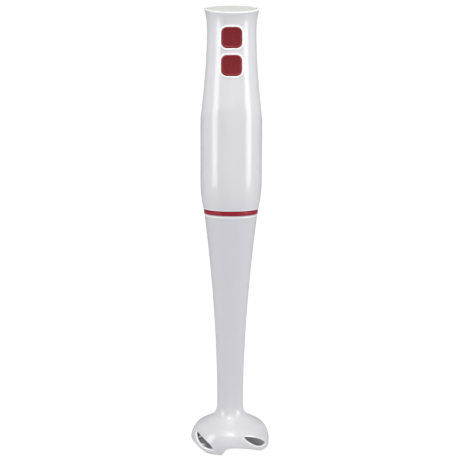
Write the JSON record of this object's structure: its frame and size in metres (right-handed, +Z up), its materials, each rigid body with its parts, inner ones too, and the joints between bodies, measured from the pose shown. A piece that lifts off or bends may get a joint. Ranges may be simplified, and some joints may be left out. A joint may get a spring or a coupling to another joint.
{
  "type": "immersion blender",
  "caption": "Hand-held stick blender with a waisted two-button handle, a red trim ring and a pull-off tapering leg that ends in a slotted bell foot round a two-winged blade.",
  "frame": {"origin": "centre of the bounding box's bottom: the plane of the foot's rim, on the drive line", "axes": "+Z up the drive line from the foot to the handle, which is the longest extent; -Y the side of the buttons; +X to the right when the buttons face the viewer"},
  "size_m": [0.0668, 0.0668, 0.3733],
  "materials": {
    "white_abs": "glossy, high polish",
    "cap_abs": "satin, faintly green grey",
    "red_abs": "semi-gloss",
    "black_plastic": "matte",
    "natural_nylon": "matte, natural",
    "soft_rubber": "matte",
    "zinc_steel": "zinc plated",
    "stainless": "stamped stainless, fine grain",
    "sintered_bronze": "sintered, oiled",
    "holder_brass": "stamped",
    "enamelled_copper": "varnished",
    "commutator_copper": "turned",
    "lamination_steel": "laminated, lacquered",
    "carbon": "pressed carbon",
    "circuit_laminate": "satin",
    "film_yellow": "semi-gloss",
    "lead_sheath": "satin"
  },
  "bodies": {
    "handle": {"handle_front_shell": "white_abs", "handle_rear_shell": "white_abs", "top_cap": "cap_abs", "trim_ring": "red_abs", "leg_socket": "white_abs", "leg_clip": "stainless", "shell_screws": "zinc_steel", "cord_inlet_bush": "soft_rubber", "cord_clamp": "black_plastic", "cord_clamp_screws": "zinc_steel", "switch_board": "circuit_laminate", "board_screws": "zinc_steel", "switch_upper": "black_plastic", "switch_lower": "black_plastic", "speed_diode": "black_plastic", "suppression_capacitor": "film_yellow", "lead_wires": "lead_sheath", "lower_bracket": "zinc_steel", "upper_bracket": "black_plastic", "lower_damper": "soft_rubber", "upper_damper": "soft_rubber", "lower_bearing": "sintered_bronze", "upper_bearing": "sintered_bronze", "field_core": "lamination_steel", "field_coils": "enamelled_copper", "core_spacers": "zinc_steel", "motor_screws": "zinc_steel", "brush_holders": "holder_brass", "carbon_brushes": "carbon", "brush_springs": "stainless"},
    "rotor": {"armature_shaft": "stainless", "armature_core": "lamination_steel", "armature_windings": "enamelled_copper", "commutator": "commutator_copper", "fan": "natural_nylon", "motor_coupling": "natural_nylon"},
    "upper_button": {"button_upper": "red_abs", "plunger_upper": "natural_nylon"},
    "lower_button": {"button_lower": "red_abs", "plunger_lower": "natural_nylon"},
    "leg": {"leg_shell": "white_abs", "leg_collar": "white_abs", "collar_seal": "soft_rubber", "upper_bush": "sintered_bronze", "lower_bush": "sintered_bronze", "shaft_seal": "soft_rubber", "shaft_tube": "zinc_steel"},
    "blade_shaft": {"drive_shaft": "stainless", "driven_coupling": "natural_nylon", "shaft_clip": "stainless", "blade_hub": "stainless", "blade": "stainless", "blade_nut": "stainless"}
  },
  "joints": [
    {"name": "upper_button_press", "type": "slide", "parent": "handle", "child": "upper_button", "axis": [0, 1, 0], "range_m": [0, 0.0015], "stiffness_N_per_m": 1200, "springref_m": -0.0008},
    {"name": "lower_button_press", "type": "slide", "parent": "handle", "child": "lower_button", "axis": [0, 1, 0], "range_m": [0, 0.0015], "stiffness_N_per_m": 1200, "springref_m": -0.0008},
    {"name": "motor_spin", "type": "hinge", "parent": "handle", "child": "rotor", "pos_m": [0, 0, 0.247], "axis": [0, 0, 1], "continuous": true},
    {"name": "leg_pull", "type": "slide", "parent": "handle", "child": "leg", "axis": [0, 0, -1], "range_m": [0, 0.06], "deforming": ["leg_clip"]},
    {"name": "blade_spin", "type": "hinge", "parent": "leg", "child": "blade_shaft", "pos_m": [0, 0, 0.1], "axis": [0, 0, 1], "continuous": true}
  ],
  "couplings": [
    {"joint": "blade_spin", "follows": "motor_spin", "ratio": 1}
  ]
}
